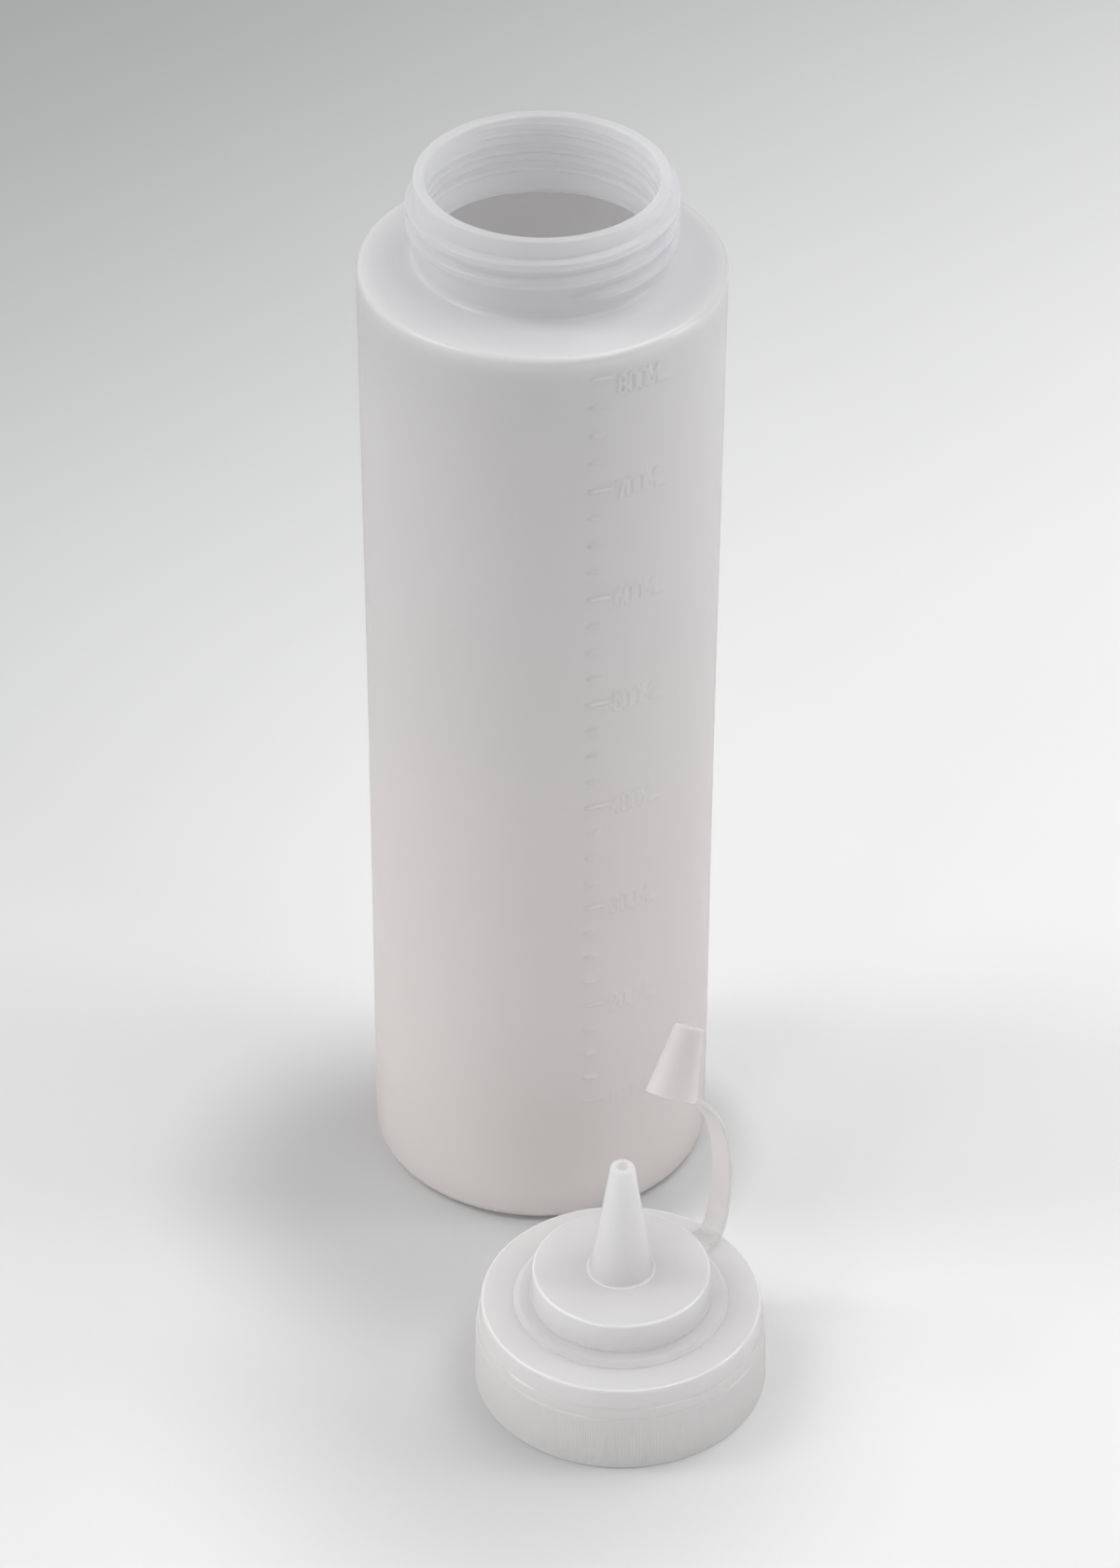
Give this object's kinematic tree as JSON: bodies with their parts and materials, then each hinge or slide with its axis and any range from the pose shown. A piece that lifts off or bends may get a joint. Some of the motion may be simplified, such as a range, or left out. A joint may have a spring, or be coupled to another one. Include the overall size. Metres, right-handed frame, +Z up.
{
  "type": "squeeze bottle",
  "caption": "Tall translucent wide-mouth squeeze bottle standing open, with its screw-on nozzle cap beside it and a tip cap on a curling tether strap.",
  "frame": {"origin": "middle of the footprint box of the bottle and its cap, on the floor that both stand on", "axes": "+Z up along the bottle's axis, +Y from the cap's side towards the bottle's back, so a viewer in front looks along +Y and sees the cap nearest, to the right"},
  "size_m": [0.0828, 0.1482, 0.2352],
  "materials": {
    "bottle": "frosted translucent polyethylene, natural milky colour",
    "cap": "smooth translucent polyethylene, natural colour, finely ribbed skirt",
    "tether": "smooth flexible translucent polyethylene, natural colour"
  },
  "bodies": {
    "bottle": {"bottle": "bottle"},
    "cap": {"cap_shell": "cap"},
    "tether": {"tether_ring": "tether"},
    "strap_1": {"strap_1": "tether"},
    "strap_2": {"strap_2": "tether"},
    "strap_3": {"strap_3": "tether"},
    "strap_4": {"strap_4": "tether"},
    "strap_5": {"strap_5": "tether"},
    "strap_6": {"strap_6": "tether"},
    "strap_7": {"strap_7": "tether"},
    "tip_cap": {"tip_cap": "tether"}
  },
  "joints": [
    {"name": "cap_lift", "type": "slide", "parent": "bottle", "child": "cap", "axis": [0, 0, 1], "range_m": [0, 0.26]},
    {"name": "tether_swivel", "type": "hinge", "parent": "cap", "child": "tether", "pos_m": [0.01148, -0.04423, 0.0205], "axis": [0, 0, 1], "continuous": true},
    {"name": "tip_flip", "type": "hinge", "parent": "tether", "child": "strap_1", "pos_m": [0.03014, -0.02556, 0.0205], "axis": [-0.7071, 0.7071, 0], "range_deg": [0, 12.17], "stiffness_Nm_per_rad": 0.01},
    {"name": "strap_bend_2", "type": "hinge", "parent": "strap_1", "child": "strap_2", "pos_m": [0.03144, -0.02426, 0.02513], "axis": [-0.7071, 0.7071, 0], "range_deg": [-11.34, 0], "stiffness_Nm_per_rad": 0.01},
    {"name": "strap_bend_3", "type": "hinge", "parent": "strap_2", "child": "strap_3", "pos_m": [0.03215, -0.02355, 0.03219], "axis": [-0.7071, 0.7071, 0], "range_deg": [-64.76, 0], "stiffness_Nm_per_rad": 0.01},
    {"name": "strap_bend_4", "type": "hinge", "parent": "strap_3", "child": "strap_4", "pos_m": [0.03215, -0.02355, 0.03932], "axis": [-0.7071, 0.7071, 0], "range_deg": [-42.14, 0], "stiffness_Nm_per_rad": 0.01},
    {"name": "strap_bend_5", "type": "hinge", "parent": "strap_4", "child": "strap_5", "pos_m": [0.03134, -0.02436, 0.04636], "axis": [-0.7071, 0.7071, 0], "range_deg": [0, 79.01], "stiffness_Nm_per_rad": 0.01},
    {"name": "strap_bend_6", "type": "hinge", "parent": "strap_5", "child": "strap_6", "pos_m": [0.02951, -0.02619, 0.053], "axis": [-0.7071, 0.7071, 0], "range_deg": [0, 40.36], "stiffness_Nm_per_rad": 0.01},
    {"name": "strap_bend_7", "type": "hinge", "parent": "strap_6", "child": "strap_7", "pos_m": [0.02682, -0.02888, 0.05903], "axis": [-0.7071, 0.7071, 0], "range_deg": [-48.66, 0], "stiffness_Nm_per_rad": 0.01},
    {"name": "tip_untwist", "type": "hinge", "parent": "strap_7", "child": "tip_cap", "pos_m": [0.02496, -0.03074, 0.0612], "axis": [0.5775, 0.5775, -0.5771], "range_deg": [0, 11.52], "stiffness_Nm_per_rad": 0.01}
  ],
  "couplings": [
    {"joint": "strap_bend_2", "follows": "tip_flip", "ratio": -0.92747},
    {"joint": "strap_bend_3", "follows": "tip_flip", "ratio": -5.3162},
    {"joint": "strap_bend_4", "follows": "tip_flip", "ratio": -3.4579},
    {"joint": "strap_bend_5", "follows": "tip_flip", "ratio": 6.487},
    {"joint": "strap_bend_6", "follows": "tip_flip", "ratio": 3.3119},
    {"joint": "strap_bend_7", "follows": "tip_flip", "ratio": -3.9936},
    {"joint": "tip_untwist", "follows": "tip_flip", "ratio": 0.94237}
  ]
}
